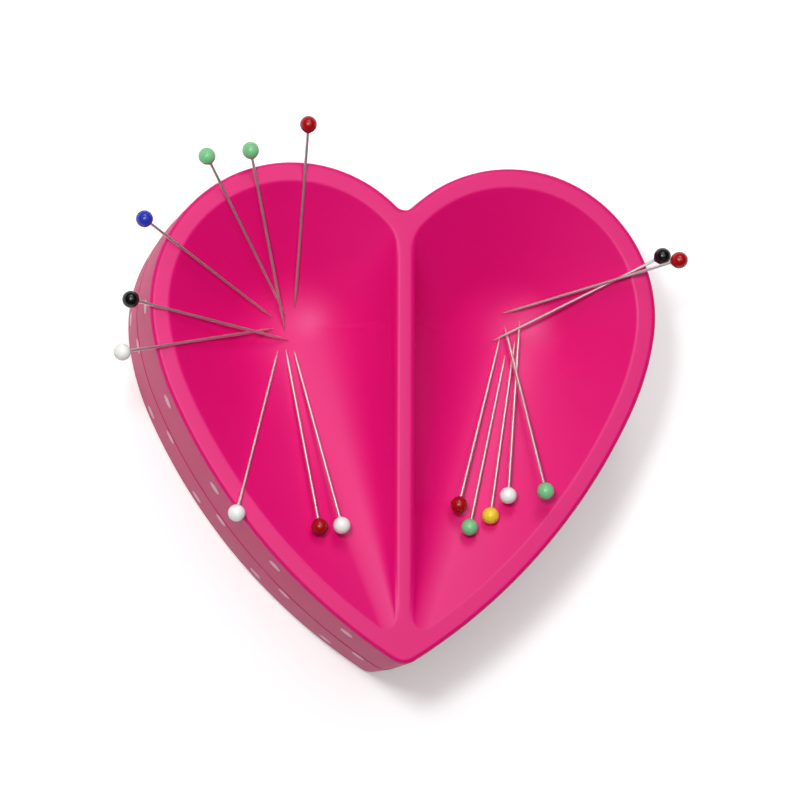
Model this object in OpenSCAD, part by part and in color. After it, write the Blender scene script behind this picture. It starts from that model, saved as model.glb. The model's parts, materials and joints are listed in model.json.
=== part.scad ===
// Heart-shaped magnetic pin bowl with two dishes, and the glass-headed pins that lie in it.
// Millimetres, +Z up. The origin is on the rest plane, at the middle of the heart's underside.
// +Y points from the heart's tip to its notch.

/* [Heart outline] */
// Width across the two lobes
heart_w = 86; // [84:1:92]
// Radius of each lobe
lobe_r = 24.5; // [24:0.5:26]
// Radius of the shoulder below each lobe
shoulder_r = 46; // [40:1:52]
// Radius of the long flank that runs to the tip
flank_r = 100; // [90:1:110]
// Radius that rounds the tip
tip_r = 3.5; // [3.4:0.1:5]
// Radius in the notch between the lobes
notch_r = 2; // [1:0.5:4]

/* [Heights] */
// Height from the rest plane to the rim
bowl_h = 33; // [31:1:36]
// How far the rubber pad lifts the base shell
foot_gap = 0.8; // [0.6:0.1:1.2]
// Height of the joint line between the two shells
joint_z = 16.9; // [16:0.1:18]

/* [Dishes] */
// Width of the flat rim
rim_w = 3.2; // [2.6:0.1:4]
// Width of the wall that parts the dishes
divider_w = 2.9; // [2.4:0.1:4]
// Depth of each dish below the rim
dish_depth = 10.5; // [9:0.5:12]
// Radius of the rounded dish bottom
dish_bottom_r = 19; // [15:0.5:19]
// How far the deepest point lies below the lobe's centre, towards the tip
deep_shift = 2; // [0:0.5:4]
// Radius that softens the outer edge of the rim
edge_soft = 0.8; // [0.4:0.1:1.2]

/* [Shells] */
// Wall of the skirt on both shells
wall = 2.2; // [1.8:0.1:2.4]
// Thickness of the dish shell
dish_wall = 2; // [1.6:0.1:2.4]
// Inward taper of the base shell at its foot
base_draft = 0.5; // [0:0.1:0.8]
// Bevel on each side of the joint line
joint_bevel = 0.25; // [0.1:0.05:0.4]

/* [Magnets] */
// Diameter of each disc magnet
magnet_d = 12; // [10:1:13]
// Thickness of each disc magnet
magnet_h = 3; // [2:0.5:4]

/* [Pins] */
// Diameter of a pin's shank
shank_d = 0.5; // [0.4:0.05:0.6]
// Distance from a pin's point to the middle of its head
pin_reach = 32.5; // [31:0.5:34]
// Diameter of a pin's glass head
head_d = 2.9; // [2.6:0.1:3]
// Length of a pin's tapered point
point_len = 3; // [2:0.5:4]

/* [Hidden] */
PIN_NAMES = [
    "left_red_pin", "left_green_pin_a", "left_green_pin_b", "left_blue_pin", "left_black_pin",
    "left_white_pin_a", "left_white_pin_b", "left_crimson_pin", "left_white_pin_c",
    "right_black_pin", "right_red_pin", "right_crimson_pin", "right_green_pin_a",
    "right_yellow_pin", "right_white_pin", "right_green_pin_b"
];

// One row for each pin, in the order of PIN_NAMES, with places read off the photograph:
// the dish (-1 left, 1 right), the point's place beside the dish's deepest spot in x and y,
// how high the point lies over the dish, heading and lean in degrees, and the head's colour
PINS = [
    [-1, 1.4, 3.1, 0.2, 90.5, 27.1, "firebrick"],
    [-1, -0.1, -0.7, 0.1, 106.2, 25, "palegreen"],
    [-1, 0, 1.8, 0.1, 122.8, 26.5, "palegreen"],
    [-1, -2.2, 1.4, 0.1, 150.5, 31.1, "mediumblue"],
    [-1, 0.6, -2.3, 0.1, 171.5, 26.2, "black"],
    [-1, -2.2, -0.4, 0.4, 193.4, 29.1, "white"],
    [-1, -1.4, -4, 0.2, 253.1, 22.2, "white"],
    [-1, -0.1, -3.8, 0.1, 278, 17.1, "darkred"],
    [-1, 1.3, -4, 0.1, 282.3, 17.5, "white"],
    [1, -1.7, -1.6, 0.4, 26.9, 23.2, "black"],
    [1, -0.1, 3.1, 0.2, 16, 29.6, "firebrick"],
    [1, -0.1, -0.4, 0.1, 253.4, 15.8, "darkred"],
    [1, 0.6, -3.8, 0.2, 255.4, 15.6, "palegreen"],
    [1, 2.3, -1.3, 0.2, 259, 15.4, "gold"],
    [1, 3.1, 2.1, 0.1, 262.7, 17.1, "white"],
    [1, 0.5, 1.2, 0.2, 278.3, 24.1, "palegreen"]
];

$fn = 48;
eps = 0.01;

// Unit vector at an angle, and the angle of a vector
function dir(a) = [cos(a), sin(a)];
function angle(v) = atan2(v.y, v.x);

// Points of an arc without its last one, so that arcs join end to end
function arc(centre, r, a0, a1, n) = [for (i = [0:n - 1]) centre + r * dir(a0 + (a1 - a0) * i / n)];

// Angles below the X direction where the lobe meets the shoulder and the shoulder the flank
lobe_end = 9;
shoulder_end = 24.5;

// The heart is three arcs that touch: lobe, shoulder and flank. Each centre follows from the last
lobe_raw = [heart_w / 2 - lobe_r, 0];
shoulder_raw = lobe_raw - (shoulder_r - lobe_r) * dir(-lobe_end);
flank_raw = shoulder_raw - (flank_r - shoulder_r) * dir(-shoulder_end);
tip_raw_y = flank_raw.y - sqrt(pow(flank_r - tip_r, 2) - pow(flank_raw.x, 2));

// The outline is moved so that its lobes and its tip lie equally far from the origin
shift_y = [0, -(lobe_r + tip_raw_y - tip_r) / 2];
lobe_c = lobe_raw + shift_y;
shoulder_c = shoulder_raw + shift_y;
flank_c = flank_raw + shift_y;
tip_c = [0, tip_raw_y] + shift_y;
notch_c = [0, lobe_c.y + sqrt(pow(lobe_r + notch_r, 2) - pow(lobe_c.x, 2))];
notch_a = angle(lobe_c - notch_c);
tip_a = angle(tip_c - flank_c);

// Angle where the flank, drawn in by d, ends at the rounded tip or, further in, on the centreline
function flank_start(d) = d < tip_r
    ? tip_a
    : -acos(-flank_c.x / (flank_r - d));

// Right half of the heart's outline from tip to notch, drawn in by d
function half_heart(d) = concat(
    d < tip_r ? arc(tip_c, tip_r - d, -90, tip_a, 3) : [],
    arc(flank_c, flank_r - d, flank_start(d), -shoulder_end, 12),
    arc(shoulder_c, shoulder_r - d, -shoulder_end, -lobe_end, 4),
    arc(lobe_c, lobe_r - d, -lobe_end, notch_a + 180, 36),
    arc(notch_c, notch_r + d, notch_a, -90, 5),
    [notch_c - [0, notch_r + d]]
);

// Whole heart, counter-clockwise, drawn in by d
function heart(d) = let (half = half_heart(d)) concat(
    half,
    [for (i = [len(half) - 2:-1:1]) [-half[i].x, half[i].y]]
);

// Each dish follows the heart inside the rim, with a rounded corner at the tip and by the notch
dish_tip_r = 3;
dish_notch_r = 5;
dish_x = divider_w / 2;
dish_tip_c = [
    dish_x + dish_tip_r,
    flank_c.y - sqrt(pow(flank_r - rim_w - dish_tip_r, 2) - pow(dish_x + dish_tip_r - flank_c.x, 2))
];
dish_notch_c = [
    dish_x + dish_notch_r,
    lobe_c.y + sqrt(pow(lobe_r - rim_w - dish_notch_r, 2) - pow(dish_x + dish_notch_r - lobe_c.x, 2))
];
dish_tip_a = angle(dish_tip_c - flank_c);
dish_notch_a = angle(dish_notch_c - lobe_c);

// Outline of the right dish, counter-clockwise, drawn in by d
function dish(d) = concat(
    arc(dish_tip_c, dish_tip_r - d, 180, 360 + dish_tip_a, 8),
    arc(flank_c, flank_r - rim_w - d, dish_tip_a, -shoulder_end, 12),
    arc(shoulder_c, shoulder_r - rim_w - d, -shoulder_end, -lobe_end, 4),
    arc(lobe_c, lobe_r - rim_w - d, -lobe_end, dish_notch_a, 34),
    arc(dish_notch_c, dish_notch_r - d, dish_notch_a, 180, 4),
    [dish_notch_c - [dish_notch_r - d, 0]]
);

// Deepest spot of the right dish, and the height of the dish surface near it
deep = lobe_c - [0, deep_shift];
deep_z = bowl_h - dish_depth;
function dish_floor(r) = deep_z + dish_bottom_r - sqrt(pow(dish_bottom_r, 2) - pow(r, 2));

// Magnet pocket under each dish
pocket_roof = 1.2;
pocket_wall = 1.5;
pocket_gap = 0.1;
cap_h = 1.2;
magnet_top = deep_z - pocket_roof;
magnet_bottom = magnet_top - magnet_h;
cap_bottom = magnet_bottom - cap_h;
pocket_bottom = cap_bottom - 0.3;

// Screws through the base shell into the tray: one near the tip and one in each lobe
lobe_screw = lobe_c + 17.2 * dir(22);
screw_spots = [[0, -29], lobe_screw, [-lobe_screw.x, lobe_screw.y]];
post_r = 4.2;
boss_r = 3.2;
counterbore_r = 3;
screw_seat_z = 6;
screw_r = 1.2;
screw_len = 17;
screw_head_r = 2.6;
screw_head_h = 1.6;
pad_inset = 15;
pad_recess = 1;

// Solid between matching rings of points, listed from the bottom up, each counter-clockwise
module loft(rings) {
    n = len(rings[0]);
    top = (len(rings) - 1) * n;
    sides = [
        for (j = [0:len(rings) - 2], i = [0:n - 1])
            let (a = j * n + i, b = j * n + (i + 1) % n)
                each [[a, a + n, b + n], [a, b + n, b]]
    ];
    polyhedron(
        [for (ring = rings) each ring],
        concat([[for (i = [0:n - 1]) i]], sides, [[for (i = [n - 1:-1:0]) top + i]])
    );
}

// A heart or dish outline lifted to a height
function at_z(points, z) = [for (p = points) [p.x, p.y, z]];

// Mirrors a right-hand form to the left when side is -1
module on_side(side) {
    if (side > 0) children();
    else mirror([1, 0, 0]) children();
}

// Space of one dish, or with grow the outside of its shell, down to its rounded bottom
module dish_form(grow) {
    hull() {
        translate([0, 0, bowl_h])
            linear_extrude(height = 1)
                polygon(dish(-grow));
        translate([deep.x, deep.y, deep_z + dish_bottom_r])
            intersection() {
                sphere(r = dish_bottom_r + grow, $fn = grow > 0 ? 36 : 60);
                translate([0, 0, -dish_bottom_r - grow])
                    cylinder(r = dish_bottom_r + grow, h = dish_depth + grow, $fn = 60);
            }
    }
}

// Outer form of the tray: straight skirt, bevelled joint line and rounded rim
module tray_outside() {
    steps = 4;
    loft(concat(
        [at_z(heart(joint_bevel), joint_z), at_z(heart(0), joint_z + joint_bevel)],
        [for (i = [0:steps]) let (a = 90 * i / steps)
            at_z(heart(edge_soft * (1 - cos(a))), bowl_h - edge_soft * (1 - sin(a)))]
    ));
}

// What stands inside the tray's skirt: dish shells, magnet rings, screw bosses and webs
module tray_inside() {
    for (side = [-1, 1])
        on_side(side) {
            dish_form(dish_wall);
            translate([deep.x, deep.y, pocket_bottom])
                cylinder(r = magnet_d / 2 + pocket_gap + pocket_wall, h = magnet_top + 2 - pocket_bottom);
        }
    for (spot = screw_spots)
        translate([spot.x, spot.y, joint_z])
            cylinder(r = boss_r, h = bowl_h - joint_z);
    translate([-0.8, -34, joint_z + 3])
        cube([1.6, 66, bowl_h - joint_z]);
    for (side = [-1, 1])
        on_side(side)
            translate([lobe_c.x, lobe_c.y, joint_z + 3])
                rotate([0, 0, 22])
                    translate([19, -0.8, 0])
                        cube([4, 1.6, bowl_h - joint_z]);
}

module top_tray() {
    color("deeppink")
        difference() {
            tray_outside();
            difference() {
                translate([0, 0, joint_z - 1])
                    linear_extrude(height = bowl_h - dish_wall - joint_z + 1)
                        polygon(heart(wall));
                tray_inside();
            }
            for (side = [-1, 1])
                on_side(side) {
                    dish_form(0);
                    translate([deep.x, deep.y, 0])
                        cylinder(r = magnet_d / 2 + pocket_gap, h = magnet_top);
                }
            for (spot = screw_spots)
                translate([spot.x, spot.y, 0])
                    cylinder(r = screw_r + 0.05, h = screw_seat_z + screw_len + 1);
        }
}

// Outer form of the base shell, drafted in and rounded at its foot
module base_outside() {
    soft = 1.2;
    steps = 3;
    loft(concat(
        [for (i = [0:steps]) let (a = 90 * i / steps)
            at_z(heart(base_draft + soft * (1 - sin(a))), foot_gap + soft * (1 - cos(a)))],
        [at_z(heart(0), joint_z - joint_bevel), at_z(heart(joint_bevel), joint_z)]
    ));
}

module base_shell() {
    floor_z = foot_gap + 2;
    lip_gap = 0.1;
    lip_t = 1;
    color("deeppink")
        difference() {
            union() {
                difference() {
                    base_outside();
                    translate([0, 0, floor_z])
                        linear_extrude(height = joint_z)
                            polygon(heart(wall + base_draft));
                }
                // Tongue that locates the tray's skirt
                difference() {
                    translate([0, 0, joint_z - 2])
                        linear_extrude(height = 4)
                            polygon(heart(wall + lip_gap));
                    translate([0, 0, joint_z - 3])
                        linear_extrude(height = 6)
                            polygon(heart(wall + lip_gap + lip_t));
                }
                for (spot = screw_spots)
                    translate([spot.x, spot.y, foot_gap])
                        cylinder(r = post_r, h = joint_z - foot_gap);
                // Posts that hold the magnet caps up, each with four gussets
                for (side = [-1, 1])
                    on_side(side)
                        translate([deep.x, deep.y, floor_z - eps]) {
                            cylinder(r = 5, h = cap_bottom - floor_z + eps);
                            for (a = [0:90:270])
                                rotate([0, 0, a])
                                    translate([3, -0.7, 0])
                                        cube([7, 1.4, 8]);
                        }
                translate([-0.8, -26, floor_z - eps])
                    cube([1.6, 54, 5]);
                translate([-deep.x, deep.y - 0.8, floor_z - eps])
                    cube([2 * deep.x, 1.6, 5]);
            }
            for (side = [-1, 1])
                on_side(side)
                    translate([deep.x, deep.y, floor_z])
                        cylinder(r = 3.5, h = joint_z + 10);
            linear_extrude(height = foot_gap + pad_recess)
                polygon(heart(pad_inset - 0.2));
            for (spot = screw_spots)
                translate([spot.x, spot.y, 0]) {
                    cylinder(r = counterbore_r, h = screw_seat_z);
                    cylinder(r = screw_r + 0.3, h = joint_z + 1);
                }
        }
}

// Disc magnet in its ring under the deepest spot of a dish
module magnet(side) {
    color("dimgray")
        translate([side * deep.x, deep.y, magnet_bottom])
            cylinder(r = magnet_d / 2, h = magnet_h);
}

// Plug that closes the magnet's ring from below
module magnet_cap(side) {
    color("whitesmoke")
        translate([side * deep.x, deep.y, cap_bottom])
            cylinder(r = magnet_d / 2 + 0.05, h = cap_h);
}

// Pan-head screws that draw the base shell up to the tray
module base_screws() {
    color("silver")
        for (spot = screw_spots)
            translate([spot.x, spot.y, screw_seat_z]) {
                cylinder(r = screw_r, h = screw_len);
                translate([0, 0, -screw_head_h])
                    difference() {
                        cylinder(r1 = screw_head_r - 0.5, r2 = screw_head_r, h = screw_head_h);
                        for (a = [0, 90])
                            rotate([0, 0, a])
                                translate([-1.5, -0.3, -eps])
                                    cube([3, 0.6, 0.9]);
                    }
            }
}

// Heart-shaped rubber pad with a bevelled tread, set in a recess under the base shell
module base_pad() {
    color("dimgray")
        loft([
            at_z(heart(pad_inset + 0.5), 0),
            at_z(heart(pad_inset), 0.5),
            at_z(heart(pad_inset), foot_gap + pad_recess)
        ]);
}

// Carries a pin, drawn point down along Z, to its place in a dish
module place_pin(pin) {
    r = norm([pin[1], pin[2]]);
    translate([pin[0] * deep.x + pin[1], deep.y + pin[2], dish_floor(r) + pin[3]])
        rotate([0, 90 - pin[5], pin[4]])
            children();
}

// Steel shank with a tapered point, its blunt end inside the head
module pin_shank(pin) {
    color("silver")
        place_pin(pin) {
            cylinder(r1 = 0.03, r2 = shank_d / 2, h = point_len, $fn = 24);
            translate([0, 0, point_len])
                cylinder(r = shank_d / 2, h = pin_reach - point_len, $fn = 24);
        }
}

// Glass head drawn out into a short neck round the shank
module pin_head(pin) {
    neck_h = 0.5;
    color(pin[6])
        place_pin(pin)
            translate([0, 0, pin_reach])
                difference() {
                    union() {
                        sphere(r = head_d / 2);
                        translate([0, 0, -head_d / 2 - neck_h + 0.3])
                            cylinder(r1 = shank_d / 2 + 0.1, r2 = head_d / 2 * 0.6, h = neck_h);
                    }
                    translate([0, 0, -head_d])
                        cylinder(r = shank_d / 2 + 0.01, h = head_d);
                }
}

top_tray();
base_shell();
magnet(-1);  // left_magnet
magnet(1);  // right_magnet
magnet_cap(-1);  // left_magnet_cap
magnet_cap(1);  // right_magnet_cap
base_screws();
base_pad();
for (i = [0:len(PINS) - 1]) {
    pin_shank(PINS[i]);
    pin_head(PINS[i]);
}
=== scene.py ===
"""Dresses the magnetic pin bowl: a satin pink heart of two moulded shells with dots printed round its
sides, and the glass-headed pins that its magnets hold. +Z is up. The object's shapes are worked out in
millimetres and become metres in their meshes. The paper, the lamps and the camera are set in metres."""

import json
import random
from math import acos, asin, atan2, cos, degrees, pi, radians, sin, sqrt, tan

import bpy
import bmesh
from mathutils import Matrix, Vector
from mathutils.geometry import tessellate_polygon

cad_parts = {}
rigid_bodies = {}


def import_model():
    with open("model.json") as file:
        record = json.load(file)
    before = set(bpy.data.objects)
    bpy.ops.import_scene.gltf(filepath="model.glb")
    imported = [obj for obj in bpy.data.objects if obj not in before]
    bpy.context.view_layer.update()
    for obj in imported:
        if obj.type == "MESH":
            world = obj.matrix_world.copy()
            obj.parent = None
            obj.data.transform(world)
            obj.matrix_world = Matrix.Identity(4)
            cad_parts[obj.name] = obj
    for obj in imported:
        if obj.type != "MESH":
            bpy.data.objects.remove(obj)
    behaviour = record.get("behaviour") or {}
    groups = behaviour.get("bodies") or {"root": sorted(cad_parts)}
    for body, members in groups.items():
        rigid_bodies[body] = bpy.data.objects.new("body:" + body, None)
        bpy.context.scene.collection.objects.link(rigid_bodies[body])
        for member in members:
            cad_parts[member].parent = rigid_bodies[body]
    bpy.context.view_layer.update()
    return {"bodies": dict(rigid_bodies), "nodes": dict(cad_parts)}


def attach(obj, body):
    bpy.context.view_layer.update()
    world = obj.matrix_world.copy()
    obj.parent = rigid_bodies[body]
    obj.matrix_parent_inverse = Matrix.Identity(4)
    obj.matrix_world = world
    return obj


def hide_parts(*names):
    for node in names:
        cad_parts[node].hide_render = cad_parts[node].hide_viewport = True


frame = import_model()

MM = 0.001
UP = Vector((0, 0, 1))
# Edges sharper than this stay crisp
CREASE = radians(35)

# The heart's arcs, each with the angle in degrees where it ends
HEART_W = 86.0
LOBE_R, LOBE_END = 24.5, 9.0
SHOULDER_R, SHOULDER_END = 46.0, 24.5
FLANK_R = 100.0
TIP_R = 3.5
NOTCH_R = 2.0

# The upper shell. The gap in the joint shows as a thin dark line
BOWL_H = 33.0
JOINT_Z = 16.9
JOINT_BEVEL = 0.25
SHADOW_GAP = 0.5
EDGE_SOFT = 0.8
WALL = 2.2
SKIRT_ROOF = 3.0

# The dishes. Their corner at the tip is tighter than the construction's 3 mm, to end each dish in the
# narrow gleam that it shows
RIM_W = 3.2
RIM_SOFT = 1.2
DIVIDER_W = 2.9
DISH_TIP_R = 1.8
DISH_NOTCH_R = 5.0
DISH_DEPTH = 10.5
DISH_BOTTOM_R = 19.0
DEEP_SHIFT = 2.0

# The lower shell, with its tongue, its pad's recess and its wells for the screws
FOOT_GAP = 0.8
BASE_DRAFT = 0.5
BASE_SOFT = 1.2
FLOOR_T = 2.0
CHAMFER = 0.15
TONGUE_GAP = 0.1
TONGUE_T = 1.0
TONGUE_H = 2.0
PAD_INSET = 15.0
PAD_GAP = 0.2
PAD_RECESS = 1.0
PAD_SLACK = 0.01
PAD_SOFT = 0.5
WELL_R = 3.0
WELL_SEAT_Z = 6.0
SCREW_HOLE_R = 1.5
SCREW_HOLE_H = 1.0
TIP_SCREW_Y = -29.0
LOBE_SCREW_REACH, LOBE_SCREW_A = 17.2, 22.0
# Rounded mouth of a well: how far out it stands, and how far up
WELL_MOUTH = [(0.25, 0.0), (0.07, 0.07), (0.0, 0.25)]

# Narrow bands beside a bevel or a rounded edge, which keep the flat faces flat in their shading
BEVEL_BAND = 0.05
WALL_BAND = 0.1
FLAT_BAND = 0.12

# The pins
SHANK_R = 0.25
POINT_LEN = 3.0
POINT_R = 0.035
HEAD_R = 1.45
NECK_LEN = 0.12
NECK_WALL = 0.04
# Where the neck begins, as a share of the way from the bead's middle to its end
NECK_FROM = 0.86

# The printed dots. A row has its height and the way along the wall from the tip to its first dot
DOT_R = 1.25
DOT_PITCH = 16.4
DOTS_A_SIDE = 8
INK_FILM = 0.1
TRAY_ROWS = [(27.4, 10.4)]
BASE_ROWS = [(14.6, 5.2), (6.2, 10.4)]


def ray(angle):
    """Unit vector in the plane at an angle in degrees."""
    return Vector((cos(radians(angle)), sin(radians(angle))))


def angle_of(v):
    return degrees(atan2(v.y, v.x))


# Centres of the arcs that make the heart and its dishes, each following from the last
lobe_raw = Vector((HEART_W / 2 - LOBE_R, 0))
shoulder_raw = lobe_raw - (SHOULDER_R - LOBE_R) * ray(-LOBE_END)
flank_raw = shoulder_raw - (FLANK_R - SHOULDER_R) * ray(-SHOULDER_END)
tip_raw_y = flank_raw.y - sqrt((FLANK_R - TIP_R) ** 2 - flank_raw.x ** 2)
shift = Vector((0, -(LOBE_R + tip_raw_y - TIP_R) / 2))
LOBE_C = lobe_raw + shift
SHOULDER_C = shoulder_raw + shift
FLANK_C = flank_raw + shift
TIP_C = Vector((0, tip_raw_y)) + shift
NOTCH_C = Vector((0, LOBE_C.y + sqrt((LOBE_R + NOTCH_R) ** 2 - LOBE_C.x ** 2)))
NOTCH_A = angle_of(LOBE_C - NOTCH_C)
TIP_A = angle_of(TIP_C - FLANK_C)
DEEP = LOBE_C - Vector((0, DEEP_SHIFT))
DEEP_Z = BOWL_H - DISH_DEPTH
DISH_X = DIVIDER_W / 2


def corner(x, centre, reach, side):
    """Centre of a dish's rounded corner: at x, and reach away from an arc's centre."""
    return Vector((x, centre.y + side * sqrt(reach ** 2 - (x - centre.x) ** 2)))


DISH_TIP_C = corner(DISH_X + DISH_TIP_R, FLANK_C, FLANK_R - RIM_W - DISH_TIP_R, -1)
DISH_NOTCH_C = corner(DISH_X + DISH_NOTCH_R, LOBE_C, LOBE_R - RIM_W - DISH_NOTCH_R, 1)
DISH_TIP_A = angle_of(DISH_TIP_C - FLANK_C)
DISH_NOTCH_A = angle_of(DISH_NOTCH_C - LOBE_C)

# A screw near the tip and one in each lobe
lobe_screw = LOBE_C + LOBE_SCREW_REACH * ray(LOBE_SCREW_A)
SCREW_SPOTS = [Vector((0, TIP_SCREW_Y)), lobe_screw, Vector((-lobe_screw.x, lobe_screw.y))]


def rays(a0, a1, step):
    """Directions from one angle to another without the last one, about step degrees apart."""
    n = max(2, round(abs(a1 - a0) / step))
    return [ray(a0 + (a1 - a0) * i / n) for i in range(n)]


def arc(centre, r, a0, a1, step):
    """Points of an arc without its last point, about step degrees apart."""
    return [centre + r * out for out in rays(a0, a1, step)]


def half_heart(d):
    """Right half of the heart, tip to notch, drawn in by d."""
    if d < TIP_R:
        points, start = arc(TIP_C, TIP_R - d, -90, TIP_A, 3), TIP_A
    else:
        points, start = [], -degrees(acos(-FLANK_C.x / (FLANK_R - d)))
    points += arc(FLANK_C, FLANK_R - d, start, -SHOULDER_END, 0.7)
    points += arc(SHOULDER_C, SHOULDER_R - d, -SHOULDER_END, -LOBE_END, 1.5)
    points += arc(LOBE_C, LOBE_R - d, -LOBE_END, NOTCH_A + 180, 2.5)
    points += arc(NOTCH_C, NOTCH_R + d, NOTCH_A, -90, 5)
    points.append(NOTCH_C - Vector((0, NOTCH_R + d)))
    return points


def heart(d):
    """The whole heart drawn in by d, counter-clockwise from its tip."""
    half = half_heart(d)
    return half + [Vector((-p.x, p.y)) for p in reversed(half[1:-1])]


def dish_outline():
    """Points of the right dish's edge with their inward directions, counter-clockwise."""
    arcs = [
        (DISH_TIP_C, DISH_TIP_R, 180, 360 + DISH_TIP_A, 3),
        (FLANK_C, FLANK_R - RIM_W, DISH_TIP_A, -SHOULDER_END, 0.6),
        (SHOULDER_C, SHOULDER_R - RIM_W, -SHOULDER_END, -LOBE_END, 1.5),
        (LOBE_C, LOBE_R - RIM_W, -LOBE_END, DISH_NOTCH_A, 2.5),
        (DISH_NOTCH_C, DISH_NOTCH_R, DISH_NOTCH_A, 180, 3),
    ]
    points = []
    for centre, r, a0, a1, step in arcs:
        points += [(centre + r * out, -out) for out in rays(a0, a1, step)]
    # Straight along the rib, back to the tip
    steps = 44
    for i in range(steps):
        y = DISH_NOTCH_C.y + (DISH_TIP_C.y - DISH_NOTCH_C.y) * i / steps
        points.append((Vector((DISH_X, y)), Vector((1, 0))))
    return points


def circle(centre, r, n=48):
    return [centre + r * ray(360 * i / n) for i in range(n)]


def quarter_turn(r, steps):
    """Points of a rounded edge: how far each lies from the two straight faces that the edge joins."""
    turns = [pi / 2 * i / steps for i in range(steps + 1)]
    return [(r * (1 - sin(a)), r * (1 - cos(a))) for a in turns]


class Skin:
    """Collects rings of points, in millimetres, and joins them into one closed skin."""

    def __init__(self):
        self.bm = bmesh.new()

    def ring(self, points, z=None):
        """New vertices at the points, all at height z where it is given."""
        return [self.bm.verts.new((p.x * MM, p.y * MM, (p.z if z is None else z) * MM)) for p in points]

    def stack(self, rings):
        """Walls from each ring to the next."""
        for a, b in zip(rings, rings[1:]):
            n = len(a)
            for i in range(n):
                j = (i + 1) % n
                self.bm.faces.new((a[i], a[j], b[j], b[i]))

    def fill(self, rings):
        """Flat face inside the first ring, with the other rings as holes."""
        flat = [v for ring in rings for v in ring]
        for tri in tessellate_polygon([[v.co for v in ring] for ring in rings]):
            self.bm.faces.new([flat[i] for i in tri])

    def fan(self, ring, point):
        """Closes a ring on one point, without a hole at the pole."""
        tip = self.bm.verts.new(point * MM)
        for a, b in zip(ring, ring[1:] + ring[:1]):
            self.bm.faces.new((a, b, tip))

    def hearts(self, steps):
        """Wall that follows the heart drawn in by each step's distance, at its height. Gives its ends."""
        rings = [self.ring(heart(d), z) for d, z in steps]
        self.stack(rings)
        return rings[0], rings[-1]

    def piece(self, name, material):
        """The finished skin as an object, smooth except at its crisp edges."""
        bmesh.ops.remove_doubles(self.bm, verts=self.bm.verts, dist=2e-7)
        bmesh.ops.dissolve_degenerate(self.bm, edges=self.bm.edges, dist=1e-7)
        bmesh.ops.recalc_face_normals(self.bm, faces=self.bm.faces)
        for edge in self.bm.edges:
            edge.smooth = edge.calc_face_angle(0) < CREASE
        mesh = bpy.data.meshes.new(name)
        self.bm.to_mesh(mesh)
        self.bm.free()
        for face in mesh.polygons:
            face.use_smooth = True
        mesh.materials.append(material)
        obj = bpy.data.objects.new(name, mesh)
        bpy.context.collection.objects.link(obj)
        return obj


def dress(piece, body, slot, *nodes):
    """Puts a piece on the body that it rides on and hides the CAD nodes that it stands for. The slot, its
    finish, is not used.
    """
    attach(piece, body)
    if nodes:
        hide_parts(*nodes)


def finish_node(name, mat):
    """Gives a CAD node that stays in the scene its material."""
    materials = frame["nodes"][name].data.materials
    materials.clear()
    materials.append(mat)


def linear(hex_colour):
    """sRGB hex to linear RGBA."""
    def channel(v):
        return v / 12.92 if v <= 0.04045 else ((v + 0.055) / 1.055) ** 2.4
    return tuple(channel(int(hex_colour[i:i + 2], 16) / 255) for i in (1, 3, 5)) + (1.0,)


def add(tree, kind, settings=None, **links):
    """Adds a node. Settings are its properties. Links are its inputs, by name with _ for a space or by
    number after an i, and each gets a value, or a socket or node that it is joined to."""
    n = tree.nodes.new(kind)
    for key, value in (settings or {}).items():
        setattr(n, key, value)
    for key, value in links.items():
        socket = n.inputs[int(key[1:])] if key[1:].isdigit() else n.inputs[key.replace("_", " ")]
        if isinstance(value, bpy.types.Node):
            value = value.outputs[0]
        if isinstance(value, bpy.types.NodeSocket):
            tree.links.new(value, socket)
        else:
            socket.default_value = value
    return n


def material(name, **values):
    """A new material, its node tree and its shader, whose named sockets get the values."""
    mat = bpy.data.materials.new(name)
    mat.use_nodes = True
    shader = mat.node_tree.nodes["Principled BSDF"]
    for key, value in values.items():
        shader.inputs[key.replace("_", " ")].default_value = value
    return mat, mat.node_tree, shader


def object_place(tree):
    return add(tree, "ShaderNodeTexCoord").outputs["Object"]


def mix_colour(tree, factor, a, b):
    """Colour between two sRGB hex colours."""
    mixed = add(tree, "ShaderNodeMix", {"data_type": "RGBA"}, i0=factor, i6=linear(a), i7=linear(b))
    return mixed.outputs[2]


def pink_abs():
    """Injection-moulded ABS from a finely etched mould. It gives a satin gloss: reflections keep their
    place but lose their edges, a little more or less along the melt's flow. The dye hardly varies. The
    tint gives its reflections a lilac cast."""
    mat, tree, shader = material("satin_moulded_pink_abs", IOR=1.53, Specular_Tint=linear("#F6DCFF"))
    place = object_place(tree)
    # Flow of the melt, in drifts about 14 mm across
    flow = add(tree, "ShaderNodeTexNoise", Vector=place, Scale=70.0, Detail=1.5, Roughness=0.45)
    tree.links.new(mix_colour(tree, flow, "#D6006A", "#DC036C"), shader.inputs["Base Color"])
    # Etched grain is 0.05 mm on the real mould, and drawn at 0.3 mm so that it shows
    grain = add(tree, "ShaderNodeTexNoise", Vector=place, Scale=3300.0, Detail=2.0)
    relief = add(tree, "ShaderNodeBump", Strength=0.05, Distance=0.00004, Height=grain)
    tree.links.new(relief.outputs["Normal"], shader.inputs["Normal"])
    spread = add(tree, "ShaderNodeMapRange", Value=flow, To_Min=0.41, To_Max=0.45)
    tree.links.new(spread.outputs["Result"], shader.inputs["Roughness"])
    # The walls' part of the mould is etched deeper, for the draft, so they shine less than the top
    normal = add(tree, "ShaderNodeTexCoord").outputs["Normal"]
    facing = add(tree, "ShaderNodeSeparateXYZ", Vector=normal)
    upward = add(tree, "ShaderNodeMath", {"operation": "ABSOLUTE"}, i0=facing.outputs["Z"])
    shine = add(tree, "ShaderNodeMapRange", Value=upward,
                From_Min=0.05, From_Max=0.5, To_Min=0.16, To_Max=0.5)
    tree.links.new(shine.outputs["Result"], shader.inputs["Specular IOR Level"])
    return mat


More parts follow.
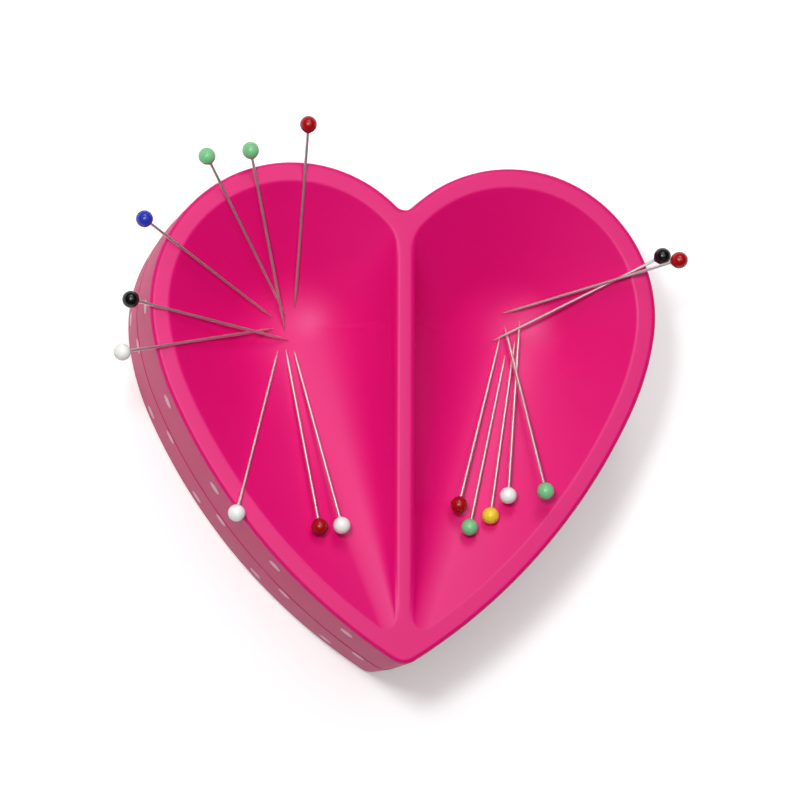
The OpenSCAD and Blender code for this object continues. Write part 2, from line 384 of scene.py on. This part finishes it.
def dot_ink():
    """Pad-printed white ink on pink plastic: a thin uneven film, so that pink shows through it, with
    thick and thin spots about 0.7 mm apart."""
    mat, tree, shader = material("pad_printed_white_ink", Roughness=0.4)
    film = add(tree, "ShaderNodeTexNoise", Vector=object_place(tree), Scale=1400.0, Detail=2.0)
    tree.links.new(mix_colour(tree, film, "#E3A0BD", "#EDB6CC"), shader.inputs["Base Color"])
    return mat


def glass(name, dark, light):
    """Fire-polished opaque glass: a gloss whose reflections are a little soft, over colour with faint
    streaks about 1.4 mm apart where the rod was wound."""
    mat, tree, shader = material(name, Roughness=0.24, IOR=1.52)
    streak = add(tree, "ShaderNodeTexNoise", Vector=object_place(tree),
                 Scale=700.0, Detail=2.0, Distortion=1.2)
    tree.links.new(mix_colour(tree, streak, dark, light), shader.inputs["Base Color"])
    return mat


def pin_wire():
    """Nickel-plated drawn steel wire: bright, with draw marks that spread its reflections."""
    mat, tree, shader = material("nickel_plated_drawn_wire", Base_Color=linear("#F4EFEC"), Metallic=1.0)
    # Draw marks every 0.3 mm
    draw_marks = add(tree, "ShaderNodeTexNoise", Vector=object_place(tree), Scale=3000.0, Detail=2.0)
    spread = add(tree, "ShaderNodeMapRange", Value=draw_marks, To_Min=0.42, To_Max=0.47)
    tree.links.new(spread.outputs["Result"], shader.inputs["Roughness"])
    return mat


def plated_steel(name, dark, light, roughness, mottle_mm):
    """Plated steel: grey metal, slightly mottled where the plating bath dried."""
    mat, tree, shader = material(name, Metallic=1.0, Roughness=roughness)
    mottle = add(tree, "ShaderNodeTexNoise", Vector=object_place(tree), Scale=1000 / mottle_mm, Detail=3.0)
    tree.links.new(mix_colour(tree, mottle, dark, light), shader.inputs["Base Color"])
    return mat


def natural_abs():
    """Undyed ABS of the hidden magnet plugs: ivory, with faint flow marks about 3 mm apart."""
    mat, tree, shader = material("natural_moulded_abs", Roughness=0.42)
    flow = add(tree, "ShaderNodeTexNoise", Vector=object_place(tree), Scale=300.0, Detail=2.0)
    tree.links.new(mix_colour(tree, flow, "#E6E0D0", "#EFEADD"), shader.inputs["Base Color"])
    return mat


def pad_rubber():
    """Moulded rubber: dull and dark grey, with the fine pebble of a spark-eroded mould, 0.5 mm apart,
    and a bloom in patches about 11 mm across."""
    mat, tree, shader = material("moulded_rubber", Roughness=0.7)
    place = object_place(tree)
    pebble = add(tree, "ShaderNodeTexVoronoi", Vector=place, Scale=2000.0)
    relief = add(tree, "ShaderNodeBump", Strength=0.5, Distance=0.00008, Height=pebble.outputs["Distance"])
    tree.links.new(relief.outputs["Normal"], shader.inputs["Normal"])
    bloom = add(tree, "ShaderNodeTexNoise", Vector=place, Scale=90.0, Detail=3.0)
    tree.links.new(mix_colour(tree, bloom, "#2B2B2D", "#3A393B"), shader.inputs["Base Color"])
    return mat


PINK = pink_abs()
INK = dot_ink()
WIRE = pin_wire()
GLASS = {
    "red": glass("red_pin_glass", "#980408", "#AE090C"),
    "crimson": glass("crimson_pin_glass", "#960408", "#A8060A"),
    "green": glass("pale_green_pin_glass", "#70BC80", "#82CA90"),
    "blue": glass("blue_pin_glass", "#1D2C9E", "#2B3DB8"),
    "black": glass("black_pin_glass", "#030303", "#0A0A0B"),
    "white": glass("white_pin_glass", "#E6E6E4", "#F4F4F2"),
    "yellow": glass("yellow_pin_glass", "#EAC228", "#F3D03C"),
}


def dish_lines():
    """The right dish's surface as straight lines: each leaves the edge at its start, grazes the rounded
    bottom's ball at its touch, and has the dish's slope there. Gives start, inward, touch and slope."""
    centre = Vector((DEEP.x, DEEP.y, DEEP_Z + DISH_BOTTOM_R))
    lines = []
    for p, inward in dish_outline():
        start = Vector((p.x, p.y, BOWL_H))
        inward = Vector((inward.x, inward.y, 0))
        reach = centre - start
        level, height = reach.dot(inward), reach.z
        slope = asin(DISH_BOTTOM_R / sqrt(level ** 2 + height ** 2)) - atan2(height, level)
        normal = inward * sin(slope) + UP * cos(slope)
        lines.append((start, inward, centre - normal * DISH_BOTTOM_R, slope))
    return lines, centre


def dish_rings():
    """Rings of the right dish from the flat rim down: a rounded edge, the straight lines, and the
    bottom's ball. Gives the ball's lowest point too."""
    edge_steps, line_steps, ball_steps = 7, 22, 14
    lines, centre = dish_lines()
    columns = []
    for start, inward, touch, slope in lines:
        down = inward * cos(slope) - UP * sin(slope)
        run = (touch - start).normalized()
        # The rounded edge begins and ends this far from the sharp edge that it takes away
        back = RIM_SOFT * tan(slope / 2)
        # Where the line leaves the edge at a slant, the rounding is led to the line's own place
        first = start + run * (back / run.dot(down))
        skew = (run - down * run.dot(down)) * (back / run.dot(down))
        column = []
        for k in range(edge_steps + 1):
            a = slope * k / edge_steps
            level, drop = RIM_SOFT * sin(a) - back, RIM_SOFT * (1 - cos(a))
            column.append(start + inward * level - UP * drop + skew * (k / edge_steps) ** 2)
        for k in range(1, line_steps + 1):
            column.append(first.lerp(touch, k / line_steps))
        side = (touch - centre).normalized()
        for k in range(1, ball_steps):
            column.append(centre + side.slerp(-UP, k / ball_steps) * DISH_BOTTOM_R)
        columns.append(column)
    return list(zip(*columns)), centre - UP * DISH_BOTTOM_R


def top_tray():
    """Upper shell: bevelled joint line, straight skirt, rounded outer edge, flat rim and two dishes."""
    skin = Skin()
    steps = [
        (WALL, JOINT_Z + SKIRT_ROOF),
        (WALL, JOINT_Z),
        (JOINT_BEVEL + BEVEL_BAND, JOINT_Z),
        (JOINT_BEVEL, JOINT_Z),
        (0, JOINT_Z + JOINT_BEVEL),
        (0, JOINT_Z + JOINT_BEVEL + WALL_BAND),
    ]
    steps += [(inward, BOWL_H - down) for down, inward in quarter_turn(EDGE_SOFT, 8)]
    steps.append((EDGE_SOFT + FLAT_BAND, BOWL_H))
    roof, rim = skin.hearts(steps)
    skin.fill([roof])
    mouths = []
    right, bottom = dish_rings()
    for side in (1, -1):
        rings = [skin.ring([Vector((side * p.x, p.y, p.z)) for p in ring]) for ring in right]
        skin.stack(rings)
        skin.fan(rings[-1], Vector((side * bottom.x, bottom.y, bottom.z)))
        mouths.append(rings[0])
    skin.fill([rim] + mouths)
    return skin.piece("tray", PINK)


def base_drawn_in(z):
    """How far the base shell's drafted wall is drawn in at height z."""
    foot, top = FOOT_GAP + BASE_SOFT, JOINT_Z - JOINT_BEVEL
    return BASE_DRAFT * (top - z) / (top - foot)


def base_shell():
    """Lower shell: drafted wall with a rounded foot, the shadow gap and the tongue inside the joint, a
    recess for the pad and three wells for the screws."""
    skin = Skin()
    land = JOINT_Z - SHADOW_GAP
    tongue_in = WALL + TONGUE_GAP + TONGUE_T
    steps = [(BASE_DRAFT + BASE_SOFT + FLAT_BAND, FOOT_GAP)]
    steps += [(BASE_DRAFT + inward, FOOT_GAP + up) for inward, up in quarter_turn(BASE_SOFT, 8)]
    steps += [
        (0, land - CHAMFER),
        (CHAMFER, land),
        (WALL + TONGUE_GAP, land),
        (WALL + TONGUE_GAP, JOINT_Z + TONGUE_H),
        (tongue_in, JOINT_Z + TONGUE_H),
        (tongue_in, FOOT_GAP + FLOOR_T),
    ]
    foot, floor = skin.hearts(steps)
    skin.fill([floor])
    recess, recess_roof = skin.hearts([
        (PAD_INSET - PAD_GAP - CHAMFER, FOOT_GAP),
        (PAD_INSET - PAD_GAP, FOOT_GAP + CHAMFER),
        (PAD_INSET - PAD_GAP, FOOT_GAP + PAD_RECESS),
    ])
    skin.fill([recess_roof])
    mouths = [recess]
    well = [(WELL_R + out, FOOT_GAP + up) for out, up in WELL_MOUTH]
    well += [
        (WELL_R, WELL_SEAT_Z),
        (SCREW_HOLE_R, WELL_SEAT_Z),
        (SCREW_HOLE_R, WELL_SEAT_Z + SCREW_HOLE_H),
    ]
    for spot in SCREW_SPOTS:
        rings = [skin.ring(circle(spot, r), z) for r, z in well]
        skin.stack(rings)
        skin.fill([rings[-1]])
        mouths.append(rings[0])
    skin.fill([foot] + mouths)
    return skin.piece("base", PINK)


def rest_pad():
    """Heart-shaped rubber pad: a rounded tread edge that meets the floor, and a flat back."""
    skin = Skin()
    steps = [(PAD_INSET + PAD_SOFT + WALL_BAND, 0)]
    steps += [(PAD_INSET + inward, up) for inward, up in quarter_turn(PAD_SOFT, 3)]
    steps.append((PAD_INSET, FOOT_GAP + PAD_RECESS - PAD_SLACK))
    for end in skin.hearts(steps):
        skin.fill([end])
    return skin.piece("pad", pad_rubber())


def lathe(skin, start, axis, profile, sides):
    """Turns a profile of (distance along the axis, radius) pairs round the axis, closed at both ends."""
    across = axis.orthogonal().normalized()
    other = axis.cross(across)
    turns = [across * cos(2 * pi * i / sides) + other * sin(2 * pi * i / sides) for i in range(sides)]
    rings = [skin.ring([start + axis * t + turn * r for turn in turns]) for t, r in profile[1:-1]]
    skin.stack(rings)
    skin.fan(rings[0], start + axis * profile[0][0])
    skin.fan(rings[-1], start + axis * profile[-1][0])


def pin_line(shank):
    """Point and far end of a pin, in millimetres, read from its CAD shank: the point is the thin end."""
    near_an_end = 0.35
    corners = [v.co / MM for v in frame["nodes"][shank].data.vertices]
    far = max(corners, key=lambda v: (v - corners[0]).length)
    other = max(corners, key=lambda v: (v - far).length)
    axis = (far - other).normalized()
    ends = []
    for sign in (1, -1):
        reach = max(sign * v.dot(axis) for v in corners)
        end = [v for v in corners if sign * v.dot(axis) > reach - near_an_end]
        middle = sum(end, Vector()) / len(end)
        width = max((v - middle).length for v in end)
        ends.append((width, middle))
    ends.sort(key=lambda pair: pair[0])
    return ends[0][1], ends[1][1]


def pin_shank(name, tip, axis, reach):
    """Drawn wire with a ground point, slightly rounded at its very end."""
    skin = Skin()
    profile = [(0, 0), (0.02, 0.02), (0.08, POINT_R)]
    for t in (0.1, 0.2, 0.32, 0.45, 0.6, 0.75, 0.9, 1.0):
        profile.append((POINT_LEN * t, POINT_R + (SHANK_R - POINT_R) * sin(pi / 2 * t) ** 0.9))
    for t in (0.25, 0.5, 0.75, 0.998):
        profile.append((POINT_LEN + (reach - POINT_LEN) * t, SHANK_R))
    profile.append((reach, 0))
    lathe(skin, tip, axis, profile, 20)
    return skin.piece(name, WIRE)


def pin_head(name, middle, axis, colour, chance):
    """Bead of glass melted round the wire: nearly a ball, a little long or flat, with a short neck."""
    skin = Skin()
    length = HEAD_R * chance.uniform(0.97, 1.01)
    width = HEAD_R * chance.uniform(0.97, 1.0)
    profile = []
    steps = 26
    for i in range(steps + 1):
        a = pi * i / steps
        along, out = -cos(a) * length, sin(a) * width
        # The neck: glass wets the wire on the side that the shank comes from
        neck = max(0.0, -along / length - NECK_FROM) / (1 - NECK_FROM)
        if neck > 0:
            out = max(out, SHANK_R + NECK_WALL)
        profile.append((along - NECK_LEN * neck ** 1.5, out))
    lathe(skin, middle, axis, profile, 36)
    return skin.piece(name, GLASS[colour])


def dot_tree():
    """Geometry Nodes that print a row of dots along a path: thin discs that take the wall's shape."""
    tree = bpy.data.node_groups.new("printed_dot_row", "GeometryNodeTree")
    inputs = [
        ("Path", "NodeSocketGeometry"),
        ("Wall", "NodeSocketObject"),
        ("First Dot", "NodeSocketFloat"),
        ("Pitch", "NodeSocketFloat"),
        ("Dots", "NodeSocketInt"),
        ("Dot Radius", "NodeSocketFloat"),
        ("Film", "NodeSocketFloat"),
        ("Ink", "NodeSocketMaterial"),
    ]
    ids = {}
    for name, kind in inputs:
        ids[name] = tree.interface.new_socket(name, in_out="INPUT", socket_type=kind).identifier
    tree.interface.new_socket("Dots", in_out="OUTPUT", socket_type="NodeSocketGeometry")
    given = add(tree, "NodeGroupInput").outputs

    # Places of the dots: the path cut from the first dot to the last, and shared out evenly
    gaps = add(tree, "ShaderNodeMath", {"operation": "SUBTRACT"}, i0=given["Dots"], i1=1.0)
    span = add(tree, "ShaderNodeMath", {"operation": "MULTIPLY"}, i0=gaps, i1=given["Pitch"])
    last = add(tree, "ShaderNodeMath", {"operation": "ADD"}, i0=span, i1=given["First Dot"])
    cut = add(tree, "GeometryNodeTrimCurve", {"mode": "LENGTH"}, Curve=given["Path"])
    lengths = [socket for socket in cut.inputs if socket.enabled and socket.type == "VALUE"]
    tree.links.new(given["First Dot"], lengths[0])
    tree.links.new(last.outputs[0], lengths[1])
    spots = add(tree, "GeometryNodeCurveToPoints", {"mode": "COUNT"}, Curve=cut, Count=given["Dots"])

    # A disc on each place, turned to face out from the wall
    out = add(tree, "ShaderNodeVectorMath", {"operation": "CROSS_PRODUCT"},
              i0=spots.outputs["Tangent"], i1=UP)
    keep = add(tree, "GeometryNodeStoreNamedAttribute", {"data_type": "FLOAT_VECTOR", "domain": "POINT"},
               Geometry=spots.outputs["Points"], Name="out", Value=out.outputs[0])
    facing = add(tree, "FunctionNodeAlignRotationToVector", {"axis": "Z"}, Vector=out.outputs[0])
    disc = add(tree, "GeometryNodeMeshCylinder", {"fill_type": "TRIANGLE_FAN"}, Vertices=36,
               Side_Segments=1, Fill_Segments=3, Radius=given["Dot Radius"], Depth=given["Film"])
    place = add(tree, "GeometryNodeInputPosition")
    height = add(tree, "ShaderNodeSeparateXYZ", Vector=place)
    lift = add(tree, "GeometryNodeStoreNamedAttribute", {"data_type": "FLOAT", "domain": "POINT"},
               Geometry=disc, Name="lift", Value=height.outputs["Z"])
    dots = add(tree, "GeometryNodeInstanceOnPoints", Points=keep, Instance=lift, Rotation=facing)
    plain = add(tree, "GeometryNodeRealizeInstances", Geometry=dots)

    # Each point of a disc goes to the wall's nearest point, and as far out from it as it was thick
    wall = add(tree, "GeometryNodeObjectInfo", Object=given["Wall"])
    near = add(tree, "GeometryNodeProximity", {"target_element": "FACES"}, i0=wall.outputs["Geometry"])
    out_again = add(tree, "GeometryNodeInputNamedAttribute", {"data_type": "FLOAT_VECTOR"}, Name="out")
    lift_again = add(tree, "GeometryNodeInputNamedAttribute", {"data_type": "FLOAT"}, Name="lift")
    proud = add(tree, "ShaderNodeVectorMath", {"operation": "SCALE"}, i0=out_again)
    tree.links.new(lift_again.outputs[0], proud.inputs["Scale"])
    film = add(tree, "ShaderNodeVectorMath", {"operation": "ADD"},
               i0=near.outputs["Position"], i1=proud.outputs[0])
    laid = add(tree, "GeometryNodeSetPosition", Geometry=plain, Position=film.outputs[0])
    inked = add(tree, "GeometryNodeSetMaterial", Geometry=laid, Material=given["Ink"])
    add(tree, "NodeGroupOutput", i0=inked)
    return tree, ids


DOT_TREE, DOT_INPUTS = dot_tree()


def dot_row(name, wall, z, first, side):
    """One row of dots round half the bowl, as a plain mesh."""
    drawn_in = 0 if z > JOINT_Z else base_drawn_in(z)
    points = [Vector((side * p.x, p.y, z)) * MM for p in half_heart(drawn_in)]
    curve = bpy.data.curves.new(name + "_path", "CURVE")
    curve.dimensions = "3D"
    line = curve.splines.new("POLY")
    line.points.add(len(points) - 1)
    for spot, p in zip(line.points, points):
        spot.co = (*p, 1)
    path = bpy.data.objects.new(name + "_path", curve)
    bpy.context.collection.objects.link(path)
    print_dots = path.modifiers.new("dots", "NODES")
    print_dots.node_group = DOT_TREE
    values = {
        "Wall": wall,
        "First Dot": first * MM,
        "Pitch": DOT_PITCH * MM,
        "Dots": DOTS_A_SIDE,
        "Dot Radius": DOT_R * MM,
        "Film": INK_FILM * MM,
        "Ink": INK,
    }
    for key, value in values.items():
        print_dots[DOT_INPUTS[key]] = value
    bpy.context.view_layer.update()
    mesh = bpy.data.meshes.new_from_object(path.evaluated_get(bpy.context.evaluated_depsgraph_get()))
    bpy.data.objects.remove(path)
    return mesh


def dots(name, wall, slot, rows):
    """Every dot on one shell, joined into one mesh with its normals recalculated."""
    bm = bmesh.new()
    for z, first in rows:
        for side in (1, -1):
            mesh = dot_row(name, wall, z, first, side)
            bm.from_mesh(mesh)
            bpy.data.meshes.remove(mesh)
    bmesh.ops.remove_doubles(bm, verts=bm.verts, dist=1e-7)
    bmesh.ops.recalc_face_normals(bm, faces=bm.faces)
    mesh = bpy.data.meshes.new(name)
    bm.to_mesh(mesh)
    bm.free()
    mesh.materials.clear()
    mesh.materials.append(INK)
    piece = bpy.data.objects.new(name, mesh)
    bpy.context.collection.objects.link(piece)
    dress(piece, "bowl", slot)


# The bowl
tray = top_tray()
dress(tray, "bowl", "tray_plastic", "top_tray")
base = base_shell()
dress(base, "bowl", "base_plastic", "base_shell")
dress(rest_pad(), "bowl", "pad_rubber", "base_pad")

# The pins. The seed is fixed, so that each bead comes out the same in every run
bead_chance = random.Random(7)
for body in frame["bodies"]:
    if body == "bowl":
        continue
    tip, middle = pin_line(body + "_shank")
    axis = (middle - tip).normalized()
    colour = next(c for c in GLASS if c in body.split("_"))
    wire = pin_shank(body + "_wire", tip, axis, (middle - tip).length)
    dress(wire, body, "pin_steel", body + "_shank")
    bead = pin_head(body + "_bead", middle, axis, colour, bead_chance)
    dress(bead, body, colour + "_glass", body + "_head")

# The parts inside and under the bowl, which keep their CAD shapes
finish_node("base_screws", plated_steel("zinc_plated_steel", "#A4A5A6", "#C6C7C4", 0.34, 0.8))
nickel = plated_steel("nickel_plated_magnet", "#B4B2AC", "#CFCCC4", 0.2, 1.5)
ivory = natural_abs()
for side in ("left", "right"):
    finish_node(side + "_magnet", nickel)
    finish_node(side + "_magnet_cap", ivory)

dots("tray_dots", tray, "tray_plastic", TRAY_ROWS)
dots("base_dots", base, "base_plastic", BASE_ROWS)

# The sweep's radius and height, from near the bowl to its edge. It lies a hair below the pad, so that
# the two faces never share a plane
SWEEP = [(0.15, 0.0), (0.5, 0.0), (2.4, 0.0), (2.7, 0.02), (2.88, 0.08), (2.97, 0.17), (3.0, 0.3)]
HAIR = 0.00002
# The paper's own glow near the bowl and far from it, and between which distances it rises
NEAR_GLOW, FAR_GLOW = 0.33, 0.9
GLOW_FROM, GLOW_TO = 0.10, 0.45

WORLD_LEVEL = 0.05
# Name, place, size, power, and whether the lamp shows in reflections
LAMPS = [
    ("key_softbox", (-0.165, 0.045, 0.56), (0.08, 0.08), 0.7, True),
    ("key_behind_scrim", (-0.165, 0.045, 0.56), (0.08, 0.08), 0.95, False),
    ("core_panel", (-0.20, 0.02, 0.90), (0.46, 0.50), 1.7, True),
    ("rim_panel", (0.17, 0.10, 0.90), (0.30, 0.40), 0.9, True),
    ("overhead_strip", (0.11, 0.70, 0.90), (0.26, 0.9), 0.9, True),
    ("rear_strip", (-0.04, 0.88, 0.90), (0.24, 0.65), 4.2, True),
    ("rear_panel", (-0.30, 0.88, 0.90), (1.5, 0.65), 2.2, True),
]
# What the key lamps are turned to
KEY_AIM = Vector((0, 0, 0.02))

# The camera that took the photograph: its distance and scale, its turns in degrees, and a point on the
# rib with the place where the picture has it
CAMERA_MM = 870.0
PIXELS_PER_MM = 6.0
PICTURE_W = 800
SENSOR_W = 36
TURN_Z, TURN_X, TURN_Y = -0.159, -6.499, 10.497
RIB_POINT = Vector((0, 1.808, BOWL_H))
RIB_PIXEL_X, RIB_PIXEL_Y = 405.098, 402.294


def white_paper():
    """Matt white paper. It glows for the camera, for clear glass and by half for reflections: a little
    near the bowl, so that the shadow shows in full, and almost to white away from the lamps."""
    mat, tree, shader = material("white_paper_sweep", Roughness=0.9, Base_Color=linear("#F0F0F0"),
                                 Specular_IOR_Level=0.0, Emission_Color=(1, 1, 1, 1))
    path = add(tree, "ShaderNodeLightPath")
    half = add(tree, "ShaderNodeMath", {"operation": "MULTIPLY"}, i0=path.outputs["Is Glossy Ray"], i1=0.5)
    seen = add(tree, "ShaderNodeMath", {"operation": "MAXIMUM"}, i0=path.outputs["Is Camera Ray"], i1=half)
    seen = add(tree, "ShaderNodeMath", {"operation": "MAXIMUM"},
               i0=seen, i1=path.outputs["Is Transmission Ray"])
    away = add(tree, "ShaderNodeVectorMath", {"operation": "LENGTH"}, i0=object_place(tree))
    glow = add(tree, "ShaderNodeMapRange", Value=away.outputs["Value"],
               From_Min=GLOW_FROM, From_Max=GLOW_TO, To_Min=NEAR_GLOW, To_Max=FAR_GLOW)
    glow = add(tree, "ShaderNodeMath", {"operation": "MULTIPLY"}, i0=seen, i1=glow)
    tree.links.new(glow.outputs[0], shader.inputs["Emission Strength"])
    return mat


def paper_sweep():
    """Round floor of paper that turns up at its edge."""
    turns = 64
    ways = [ray(360 * i / turns) for i in range(turns)]
    corners = [(r * way.x, r * way.y, z - HAIR) for r, z in SWEEP for way in ways]
    corners.append((0, 0, -HAIR))
    faces = [(len(corners) - 1, i, (i + 1) % turns) for i in range(turns)]
    for k in range(len(SWEEP) - 1):
        for i in range(turns):
            a, b = k * turns + i, k * turns + (i + 1) % turns
            faces.append((a, a + turns, b + turns, b))
    mesh = bpy.data.meshes.new("sweep")
    mesh.from_pydata(corners, [], faces)
    mesh.materials.append(white_paper())
    sweep = bpy.data.objects.new("sweep", mesh)
    bpy.context.collection.objects.link(sweep)


def dim_tent():
    """Even faint light from all round."""
    world = bpy.data.worlds.new("dim_tent")
    world.use_nodes = True
    bpy.context.scene.world = world
    back = world.node_tree.nodes["Background"]
    back.inputs["Color"].default_value = (1, 1, 1, 1)
    back.inputs["Strength"].default_value = WORLD_LEVEL


def lamps():
    """A small key lamp from the upper left, and soft panels overhead and behind the bowl's notch."""
    for name, place, size, watts, mirrored in LAMPS:
        lamp = bpy.data.lights.new(name, "AREA")
        lamp.shape = "RECTANGLE"
        lamp.size, lamp.size_y = size
        lamp.energy = watts
        obj = bpy.data.objects.new(name, lamp)
        obj.location = place
        obj.visible_glossy = mirrored
        if name.startswith("key"):
            obj.rotation_euler = (KEY_AIM - Vector(place)).to_track_quat("-Z", "Y").to_euler()
        bpy.context.collection.objects.link(obj)


def photograph_camera():
    """Camera nearly straight above, turned and placed so that the rib's point falls on its pixel."""
    camera = bpy.data.cameras.new("camera")
    camera.sensor_width = SENSOR_W
    camera.lens = SENSOR_W * CAMERA_MM / (PICTURE_W / PIXELS_PER_MM)
    camera.clip_end = 10
    turn = Matrix.Rotation(radians(TURN_Z), 3, "Z")
    turn = turn @ Matrix.Rotation(radians(TURN_X), 3, "X")
    turn = turn @ Matrix.Rotation(radians(TURN_Y), 3, "Y")
    back_turn = turn.transposed()
    off_middle = Vector((RIB_PIXEL_X - PICTURE_W / 2, PICTURE_W / 2 - RIB_PIXEL_Y, 0)) / PIXELS_PER_MM
    eye = back_turn @ (Vector((0, 0, CAMERA_MM)) - off_middle) + RIB_POINT
    cam = bpy.data.objects.new("camera", camera)
    cam.matrix_world = Matrix.Translation(eye * MM) @ back_turn.to_4x4()
    bpy.context.collection.objects.link(cam)
    bpy.context.scene.camera = cam


paper_sweep()
dim_tent()
lamps()
photograph_camera()
bpy.context.scene.view_settings.view_transform = "Standard"
